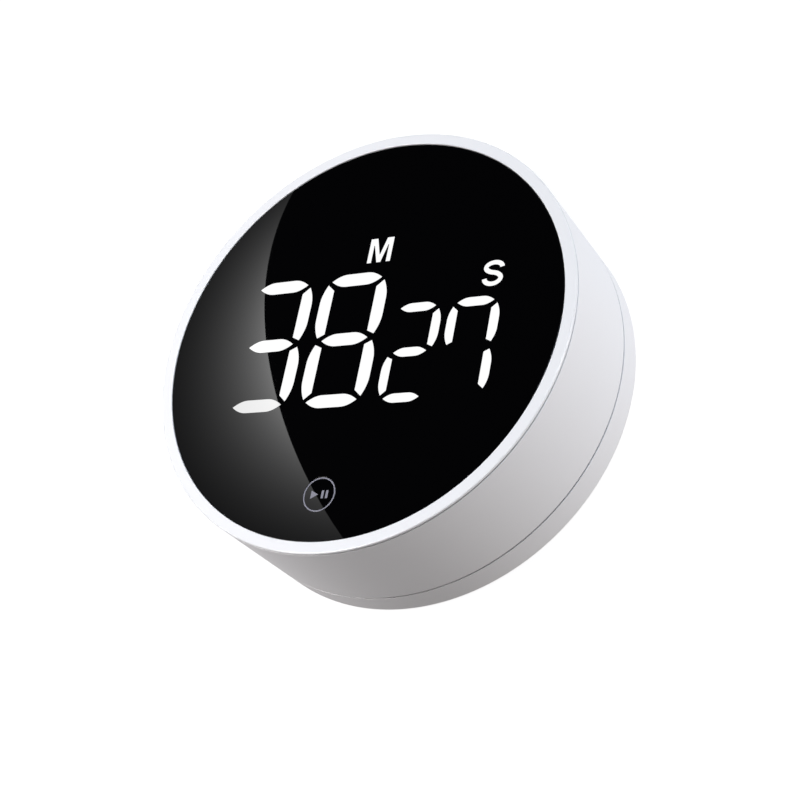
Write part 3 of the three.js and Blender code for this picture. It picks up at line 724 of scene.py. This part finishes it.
back = {"outer": 39.0, "wall": 37.2, "bottom": 0.4, "floor": 2.6, "rim": 5.65, "edge": 0.35,
        "ribInner": 35.4, "ribOuter": 36.6, "rib": 5.2, "grooveInner": 30.8,
        "grooveOuter": 35.2, "groove": 1.1}
door = {"halfX": 25.6, "halfY": 17.4, "radius": 3.0, "bottom": 0.5, "top": 1.7, "edge": 0.25, "hookY": 9.0}
latch = {"x": -27.05, "halfX": 1.35, "halfY": 5.5, "radius": 0.9, "top": 1.9, "notchX": -26.0}
slider = {"x": 28.6, "recessHalf": (1.6, 5.5), "recessTop": 1.2, "slotHalf": (1.3, 4.05)}
sound = {"y": -24.3, "pitch": 2.6, "hole": 0.6}
screwPads = {"places": [(32.8, angle) for angle in (20, 160, 200, 340)], "radius": 2.3, "top": 3.6,
             "counterbore": 2.0, "seat": 2.4, "clearance": 1.25}
magnetPockets = {"places": [(27.4, angle) for angle in (60, 120, 240, 300)], "outer": 5.5, "inner": 4.65,
                 "top": 4.2}
shaftBush = {"at": (0, 30), "outer": 2.6, "top": 5.6, "bore": 1.55, "boreBottom": 2.9}
boardPegs = {"radius": 0.7, "y": 6.3, "top": 6.45}
cellOpening = {"halfX": 24.4, "halfY": 16.2, "radius": 2}
hookSlots = {"x": 25.15, "halfX": 1.75, "halfY": 2.3, "bottom": 0.9, "top": 2.15}


def polar(radius, degrees):
    return radius * math.cos(math.radians(degrees)), radius * math.sin(math.radians(degrees))


def pocket(halfX, halfY, radius, top, mouth, chamfer=0.15, centre=(0, 0), steps=8):
    # cutter for a pocket in the back's outer face, with a small bevel round its mouth
    offsets = [chamfer + 0.5, chamfer, 0, 0]
    heights = [mouth - 0.5, mouth, mouth + chamfer, top]
    outlines = [roundedOutline(halfX + o, halfY + o, radius + o, steps) + centre for o in offsets]
    return stackOutlines(outlines, heights)


def drill(radius, bottom, top, centre, chamfer=0.0, steps=6):
    # round peg or hole, with a small bevel at its lower end where a chamfer is given
    if chamfer:
        return pocket(radius, radius, radius, top, bottom, chamfer, centre, steps)
    return prism(radius, radius, radius, bottom, top, centre, steps)


def makeBack(values):
    profile = filletPath([
        (pole, values["bottom"]), (values["grooveInner"], values["bottom"], 0.12),
        (values["grooveInner"], values["groove"]), (values["grooveOuter"], values["groove"]),
        (values["grooveOuter"], values["bottom"], 0.12), (values["outer"], values["bottom"], values["edge"]),
        (values["outer"], values["rim"], 0.06), (values["wall"], values["rim"], 0.1),
        (values["wall"], values["floor"]), (values["ribOuter"], values["floor"]),
        (values["ribOuter"], values["rib"], 0.1), (values["ribInner"], values["rib"], 0.1),
        (values["ribInner"], values["floor"]), (pole, values["floor"])])
    shell = meshPiece("backShell", *turnProfile(profile, 360), satinWhiteAbs)
    under, floor = values["bottom"], values["floor"]
    root = floor - 0.2  # where what stands on the floor starts
    through = 4  # height that the cutter of a small hole reaches
    joins, cuts = [], []
    for spot in screwPads["places"]:
        at = polar(*spot)
        joins.append(drill(screwPads["radius"], root, screwPads["top"], at))
        cuts.append(drill(screwPads["counterbore"], 0, screwPads["seat"], at))
        cuts.append(drill(screwPads["clearance"], 0, through, at))
    for spot in magnetPockets["places"]:
        at = polar(*spot)
        joins.append(drill(magnetPockets["outer"], root, magnetPockets["top"], at, steps=10))
        cuts.append(drill(magnetPockets["inner"], floor, magnetPockets["top"] + 0.8, at, steps=10))
    joins.append(drill(shaftBush["outer"], root, shaftBush["top"], shaftBush["at"]))
    cuts.append(drill(shaftBush["bore"], shaftBush["boreBottom"], shaftBush["top"] + 0.4, shaftBush["at"]))
    for y in (-boardPegs["y"], boardPegs["y"]):
        joins.append(drill(boardPegs["radius"], root, boardPegs["top"], (slider["x"], y)))
    gap = 0.15  # all round the door
    cuts.append(pocket(door["halfX"] + gap, door["halfY"] + gap, door["radius"] + gap, 1.8, under))
    cuts.append(prism(*cellOpening.values(), 0, 5))
    cuts.append(pocket(latch["halfX"], latch["halfY"], latch["radius"], latch["top"], under,
                       centre=(latch["x"], 0)))
    cuts.append(prism(1.0, latch["halfY"], 0.02, 0, latch["top"], (latch["notchX"], 0)))
    cuts.append(pocket(*slider["recessHalf"], 1.0, slider["recessTop"], under, centre=(slider["x"], 0)))
    cuts.append(prism(*slider["slotHalf"], 0.3, 0, 5, (slider["x"], 0)))
    for y in (-door["hookY"], door["hookY"]):
        cuts.append(prism(hookSlots["halfX"], hookSlots["halfY"], 0.1, hookSlots["bottom"], hookSlots["top"],
                          (hookSlots["x"], y)))
    cuts.append(drill(sound["hole"], 0.2, through, (0, sound["y"])))
    for angle in range(0, 360, 60):
        x, y = polar(sound["pitch"], angle)
        cuts.append(drill(sound["hole"], under, through, (x, sound["y"] + y), chamfer=0.1, steps=5))
    carve(shell, joins, "UNION")
    carve(shell, cuts)
    return crispEdges(shell)


def makeDoor(values):
    # panel with bevelled lower edge, latch tongue, two hooks, and five grip grooves cut in its face
    offsets = [-values["edge"], -values["edge"] * 0.3, 0, 0]
    heights = [values["bottom"], values["bottom"] + values["edge"] * 0.3,
               values["bottom"] + values["edge"], values["top"]]
    outlines = [roundedOutline(values["halfX"] + o, values["halfY"] + o, values["radius"] + o, 10)
                for o in offsets]
    panel = meshPiece("doorPanel", *stackOutlines(outlines, heights), satinWhiteAbs)
    extras = [stackOutlines([roundedOutline(0.9, 3.0 + o, 0.3) + [-25.5, 0] for o in (-0.15, 0, 0)],
                            [0.9, 1.05, values["top"]])]
    for y in (-values["hookY"], values["hookY"]):
        extras.append(prism(0.95, 2.0, 0.2, 1.1, values["top"], (25.55, y)))
    carve(panel, extras, "UNION")
    grips = []
    for i in range(5):
        width = 3.4 - 0.35 * i
        centre = [-22.6 + 0.9 * i, 0]
        rows = [roundedOutline(0.28 + o, width + o, 0.2 + o, 5) + centre for o in (0.12, 0, 0)]
        grips.append(stackOutlines(rows, [0.4, 0.56, 0.85]))
    carve(panel, grips)
    return crispEdges(panel)


def makeSlider(values):
    # base in the recess, three ribs below it for a fingertip, and a peg up into the switch
    knob = meshPiece("volumeKnob", *prism(1.05, 2.0, 0.2, 0.8, 2.8, (values["x"], 0)), blackAbs)
    extras = [prism(0.7, 1.0, 0.1, 2.7, 4.3, (values["x"], 0))]
    for y in (-1.2, 0, 1.2):
        rows = [roundedOutline(1.0 + o, 0.3 + o, 0.1, 3) + [values["x"], y] for o in (-0.08, 0, 0)]
        extras.append(stackOutlines(rows, [0.55, 0.65, 0.9]))
    carve(knob, extras, "UNION")
    return crispEdges(knob)


def makeGrip():
    # soft ring with a fine groove round its middle
    profile = filletPath([
        (31.0, 0.0, 0.25), (32.85, 0.0, 0.08), (32.85, 0.12, 0.03), (33.15, 0.12, 0.03), (33.15, 0.0, 0.08),
        (35.0, 0.0, 0.25), (35.0, 1.0, 0.05), (31.0, 1.0, 0.05)], steps=4)
    return meshPiece("gripRing", *turnProfile(profile, 256), greySilicone)


place(makeBack(back), "housing", "back_shell", "back_cover")
place(makeDoor(door), "door", "back_shell", "battery_door")
place(makeSlider(slider), "volume", "black_plastic", "volume_slider")
place(makeGrip(), "housing", "rubber", "grip_ring")
print("back made")


# Dark seam rings as painted shade, battery cells and their springs

# dark rings at the bottom of the rear and front seams, as painted shade
seamShadeRings = {
    "rearSeamShade": {"inner": 36.9, "outer": 38.65, "bottom": 5.68, "top": 6.01},
    "frontSeamShade": {"inner": 37.65, "outer": 38.6, "bottom": 24.84, "top": 25.07},
}
cellShape = {"radius": 5.2, "nub": 1.0, "nubRadius": 1.9, "sleeveLip": 4.5, "edge": 0.45}
spring = {"wire": 0.3, "wide": 3.4, "narrow": 2.1, "turns": 3.0, "flatTurns": 0.75}


def makeSeamShadeRing(name, values):
    # dark ring at the bottom of a seam: painted shade standing in for the shadow deep in the gap
    profile = filletPath([
        (values["inner"], values["bottom"]), (values["outer"], values["bottom"], 0.04),
        (values["outer"], values["top"], 0.04), (values["inner"], values["top"])], steps=3, support=0.01)
    return meshPiece(name, *turnProfile(profile, 256), seamShadeFilm)


def makeCell(name, values, low, high, towards):
    # cross-section (distance along, radius) turned about the cell's own axis. The jacket's ends curl
    # over the steel can, and the button stands up at the end that points along X times towards
    length = high[0] - low[0]
    radius, edge, lip = values["radius"], values["edge"], values["sleeveLip"]
    shoulder = length - values["nub"]
    can = 0.12  # how far the steel ends sit inside the jacket's lips
    jacket = filletPath([(can, lip), (0, lip, 0.1), (0, radius, edge), (shoulder, radius, edge),
                         (shoulder, lip, 0.1), (shoulder - can, lip)], steps=5)
    steel = filletPath([
        (can, pole), (can, lip + 0.2), (shoulder - can, lip + 0.2),
        (shoulder - can, values["nubRadius"], 0.1), (length, values["nubRadius"], 0.25), (length, pole)],
        steps=4)
    middle = (low + high)[1:] / 2
    start = low[0] if towards > 0 else high[0]
    sides = 64
    pieces = []
    for part, section, material in (("Jacket", jacket, printedShrinkSleeve), ("Can", steel, nickelPlate)):
        angle = np.linspace(0, 2 * math.pi, sides, endpoint=False)[:, None]
        x = np.broadcast_to(start + towards * section[None, :, 0], (sides, len(section)))
        y = middle[0] + towards * section[None, :, 1] * np.cos(angle)
        z = middle[1] + section[None, :, 1] * np.sin(angle)
        vertices = np.stack([x, y, z], -1).reshape(-1, 3) * mm
        piece = meshPiece(name + part, vertices, gridFaces(sides, len(section)), material)
        share = np.tile(section[:, 0] / length, sides)
        attribute = piece.data.attributes.new("along", "FLOAT", "POINT")
        attribute.data.foreach_set("value", share.astype(np.float32))
        pieces.append(piece)
    return pieces


def makeSpring(name, values, low, high, middle, towards):
    # tube along a cone-shaped helix: the radius falls evenly from wide to narrow, both ends lie flat, and
    # the turns between rise as 0.65 t + 0.35 (3 t^2 - 2 t^3)
    length = high[0] - low[0] - 2 * values["wire"]
    total = values["turns"] + 2 * values["flatTurns"]
    stepsPerTurn, sides = 40, 10
    share = np.linspace(0, 1, int(total * stepsPerTurn))
    turned = share * total
    rise = np.clip((turned - values["flatTurns"]) / values["turns"], 0, 1)
    rise = rise * rise * (3 - 2 * rise) * 0.35 + rise * 0.65
    radius = values["wide"] + (values["narrow"] - values["wide"]) * share
    angle = 2 * math.pi * turned
    start = low[0] if towards > 0 else high[0]
    line = np.column_stack([start + towards * (values["wire"] + length * rise),
                            middle[0] + radius * np.cos(angle), middle[1] + radius * np.sin(angle)])
    outward = np.column_stack([np.zeros_like(angle), np.cos(angle), np.sin(angle)])
    along = np.gradient(line, axis=0)
    along /= np.linalg.norm(along, axis=1)[:, None]
    side = np.cross(along, outward)
    side /= np.linalg.norm(side, axis=1)[:, None]
    ringAngle = np.linspace(0, 2 * math.pi, sides, endpoint=False)[None, :, None]
    section = np.cos(ringAngle) * outward[:, None, :] + np.sin(ringAngle) * side[:, None, :]
    rings = line[:, None, :] + values["wire"] * section
    count = len(line)
    lastRing = np.arange(sides)[::-1] + sides * (count - 1)
    faces = [*gridFaces(count, sides, closeRows=False), np.arange(sides), lastRing]
    return meshPiece(name, rings.reshape(-1, 3) * mm, faces, zincSteel, 60)


def facesOutward(piece):
    # turns a closed mesh's faces outward
    shape = bmesh.new()
    shape.from_mesh(piece.data)
    bmesh.ops.recalc_face_normals(shape, faces=shape.faces)
    shape.to_mesh(piece.data)
    shape.free()
    return piece


# the dark seam rings: painted shade
for name, values in seamShadeRings.items():
    place(makeSeamShadeRing(name, values), "housing", "acetal")
for i, towards in ((1, 1), (2, -1), (3, 1)):
    low, high = np.array(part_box(f"cell_{i}")) / mm
    for piece in makeCell(f"cell{i}", cellShape, low, high, towards):
        place(facesOutward(piece), "housing", "cell_jacket", f"cell_{i}")
    middle = (low + high)[1:] / 2
    low, high = np.array(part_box(f"cell_spring_{i}")) / mm
    coil = makeSpring(f"cellSpring{i}", spring, low, high, middle, towards)
    place(facesOutward(coil), "housing", "steel", f"cell_spring_{i}")
print("washers, cells and springs made")


# Finishes of the frame's own inner parts

innerFinishes = {
    "lens_tape": blackFoamTape, "glide_ring": acetal, "inner_frame": greyAbs, "main_board": greenBoard,
    "control_chip": glassFilledNylon, "led_housing": satinWhiteAbs, "diffuser_film": milkyPolyester,
    "tact_switch_body": glassFilledNylon, "tact_switch_plunger": acetal, "encoder_body": glassFilledNylon,
    "encoder_shaft": zincSteel, "drive_pinion": acetal, "buzzer": glassFilledNylon,
    "volume_switch_body": zincSteel, "switch_board": greenBoard, "switch_ribbon": polyimideRibbon,
    "battery_box": blackAbs, "contact_positive": nickelPlate, "contact_negative": nickelPlate,
    "contact_bridge_left": nickelPlate, "contact_bridge_right": nickelPlate,
    **{f"magnet_{i}": nickelPlate for i in range(1, 5)},
    **{f"case_screw_{i}": zincSteel for i in range(1, 5)},
    **{f"board_screw_{i}": zincSteel for i in range(1, 4)},
}
for nodeName, material in innerFinishes.items():
    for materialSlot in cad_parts[nodeName].material_slots:
        materialSlot.material = material
print("inner parts finished")


# Stage and light

studio = {
    "floorSize": 6.0,
    "bounce": {"bright": 0.95, "dark": 0.42, "azimuth": -78, "power": 1.6},  # what the floor gives back
    "ambient": 0.1,
    "lights": {
        "keyLight": {"azimuth": 30, "elevation": 60, "power": 3.5, "colour": "#e2f1ff"},
        "sideLight": {"azimuth": 9, "elevation": 10, "power": 3.7, "colour": "#fff9f4"},
        "backLight": {"azimuth": 205, "elevation": 60, "power": 0.95, "colour": "#fffaf8", "near": 0.37},
    },
    "distance": 1.0, "size": 0.45,
    "darkPatch": (18, 32),  # degrees from the display's mirrored view: fully dark within, none beyond
}
reflection = {  # a bright card that shows in the display as a curved, fading gleam, in mm on the display
    "edge": (-18.335, -3.681, 0.77, 0.039, 0.011),  # x of the sharp edge, by powers of y / 10
    "strength": 3.45, "fade": 6.75, "hot": -6.1, "spreadUp": 24.0, "spreadDown": 20.2, "height": 600,
    "reach": 45, "halfLength": 46,
}


def addLight(name, values, distance, size, target=(0, 0, 13 * mm)):
    distance, size = distance * values.get("near", 1), size * values.get("near", 1)
    data = bpy.data.lights.new(name, "AREA")
    data.shape = "DISK"
    data.size = size
    data.energy = values["power"]
    data.color = linearFromHex(values["colour"])[:3]
    light = bpy.data.objects.new(name, data)
    bpy.context.scene.collection.objects.link(light)
    light.location = direction(values["azimuth"], values["elevation"]) * distance
    aim = Vector(target) - light.location
    light.rotation_euler = aim.to_track_quat("-Z", "Y").to_euler()
    return light


def makeFloor(values):
    # pale floor: from above it shows near-white with a faint soft shadow and gives back a soft light that
    # is a little darker and warmer on one side. From below it lets sight and light through
    material, tree = newMaterial("paleFloor")
    path = addNode(tree, "ShaderNodeLightPath")
    facing = addNode(tree, "ShaderNodeNewGeometry")
    paper = addNode(tree, "ShaderNodeBsdfDiffuse", {"Color": linearFromHex("#787878")})
    glow = addNode(tree, "ShaderNodeEmission", {"Color": linearFromHex("#ffffff"), "Strength": 0.9})
    seen = addNode(tree, "ShaderNodeAddShader", links={0: paper.outputs[0], 1: glow.outputs[0]})
    # bounce = bright - (bright - dark) * ((cos(azimuth - dark azimuth) + 0.6) / 1.6) ^ power
    bounceValues = values["bounce"]
    coordinates = addNode(tree, "ShaderNodeTexCoord").outputs["Object"]
    # within 38 mm of the middle, under the timer, the cosine fades evenly to nothing
    distance = addNode(tree, "ShaderNodeVectorMath", {"operation": "LENGTH"}, {0: coordinates})
    reach = addNode(tree, "ShaderNodeMath", {"operation": "MAXIMUM", 1: 38 * mm},
                    {0: distance.outputs["Value"]})
    towardsDark = addNode(tree, "ShaderNodeVectorMath",
                          {"operation": "DOT_PRODUCT", 1: direction(bounceValues["azimuth"], 0)},
                          {0: coordinates})
    cosine = addNode(tree, "ShaderNodeMath", {"operation": "DIVIDE"},
                     {0: towardsDark.outputs["Value"], 1: reach.outputs[0]})
    share = addNode(tree, "ShaderNodeMapRange", {"From Min": -0.6, "From Max": 1.0},
                    {"Value": cosine.outputs[0]})
    curved = addNode(tree, "ShaderNodeMath", {"operation": "POWER", 1: bounceValues["power"]},
                     {0: share.outputs[0]})
    level = addNode(tree, "ShaderNodeMapRange",
                    {"To Min": bounceValues["bright"], "To Max": bounceValues["dark"]},
                    {"Value": curved.outputs[0]})
    tint = addNode(tree, "ShaderNodeMix",
                   {"data_type": "RGBA", 6: linearFromHex("#f4f8ff"), 7: linearFromHex("#fffaf8")},
                   {0: curved.outputs[0]})
    bounce = addNode(tree, "ShaderNodeEmission",
                     links={"Color": tint.outputs[2], "Strength": level.outputs[0]})
    lit = addNode(tree, "ShaderNodeMixShader",
                  links={0: path.outputs["Is Camera Ray"], 1: bounce.outputs[0], 2: seen.outputs[0]})
    clear = addNode(tree, "ShaderNodeBsdfTransparent")
    unseen = addNode(tree, "ShaderNodeMath", {"operation": "MAXIMUM"},
                    {0: facing.outputs["Backfacing"], 1: path.outputs["Is Shadow Ray"]})
    shader = addNode(tree, "ShaderNodeMixShader",
                     links={0: unseen.outputs[0], 1: lit.outputs[0], 2: clear.outputs[0]})
    finishMaterial(tree, shader)
    half = values["floorSize"] / 2
    corners = [(-half, -half, 0), (half, -half, 0), (half, half, 0), (-half, half, 0)]
    floor = meshPiece("floor", corners, [(0, 1, 2, 3)], material)


def makeCard(values, faceHeight, cameraAt):
    # grid of (distance out from the curved edge, y along it). Each point of the gleam on the display is
    # carried on from the camera's mirror image through the display to the card's height
    edge = np.polynomial.Polynomial(values["edge"])
    rows, columns = 46, 80
    out = np.linspace(0, values["reach"], rows)[:, None]
    along = np.linspace(-values["halfLength"], values["halfLength"], columns)[None, :]
    slope = edge.deriv()(along / 10) / 10
    x = edge(along / 10) - out / np.sqrt(1 + slope ** 2)
    y = along + out * slope / np.sqrt(1 + slope ** 2)
    spread = np.where(along > values["hot"], values["spreadUp"], values["spreadDown"])
    glow = values["strength"] * np.exp(-out / values["fade"] - ((along - values["hot"]) / spread) ** 2)
    eye = np.array(cameraAt) / mm
    rise = eye[2] - faceHeight
    scale = (values["height"] - faceHeight + rise) / rise
    cardX = eye[0] + scale * (x - eye[0])
    cardY = eye[1] + scale * (y - eye[1])
    vertices = np.stack([cardX, cardY, np.full_like(cardX, values["height"])], -1).reshape(-1, 3) * mm
    material, tree = newMaterial("gleamCard")
    level = addNode(tree, "ShaderNodeAttribute", {"attribute_name": "glow"})
    light = addNode(tree, "ShaderNodeEmission", links={"Strength": level.outputs["Fac"]})
    finishMaterial(tree, light)
    card = meshPiece("gleamCard", vertices, gridFaces(rows, columns, False, False), material)
    attribute = card.data.attributes.new("glow", "FLOAT", "POINT")
    attribute.data.foreach_set("value", glow.ravel().astype(np.float32))
    card.visible_camera = False
    card.visible_diffuse = False
    card.visible_shadow = False


def makeWorld(values, mirrored):
    # white where it is seen, soft and even as light, with a dark patch that the display mirrors
    world = bpy.data.worlds.new("studio")
    bpy.context.scene.world = world
    world.use_nodes = True
    tree = world.node_tree
    tree.nodes.clear()
    towards = addNode(tree, "ShaderNodeTexCoord").outputs["Generated"]
    inside, outside = values["darkPatch"]
    dot = addNode(tree, "ShaderNodeVectorMath", {"operation": "DOT_PRODUCT", 1: mirrored},
                  {0: towards})
    patch = addNode(tree, "ShaderNodeMapRange",
                    {"From Min": math.cos(math.radians(outside)), "From Max": math.cos(math.radians(inside)),
                     "To Min": values["ambient"], "To Max": 0.0, "interpolation_type": "SMOOTHSTEP"},
                    {"Value": dot.outputs["Value"]})
    path = addNode(tree, "ShaderNodeLightPath")
    level = addNode(tree, "ShaderNodeMix", {"data_type": "FLOAT", 3: 1.0},
                    {0: path.outputs["Is Camera Ray"], 2: patch.outputs[0]})
    sky = addNode(tree, "ShaderNodeBackground", {"Color": linearFromHex("#ffffff")},
                  {"Strength": level.outputs[0]})
    addNode(tree, "ShaderNodeOutputWorld", links={"Surface": sky.outputs[0]})


def mirroredView(camera, aim):
    ray = Vector(aim) * mm - camera.location
    ray.z = -ray.z
    return ray.normalized()


makeFloor(studio)
makeCard(reflection, lens["top"], camera.location)
makeWorld(studio, mirroredView(camera, (0, 0, lens["top"])))
for name, values in studio["lights"].items():
    addLight(name, values, studio["distance"], studio["size"])
bpy.context.scene.view_settings.view_transform = "Standard"
print("stage made")
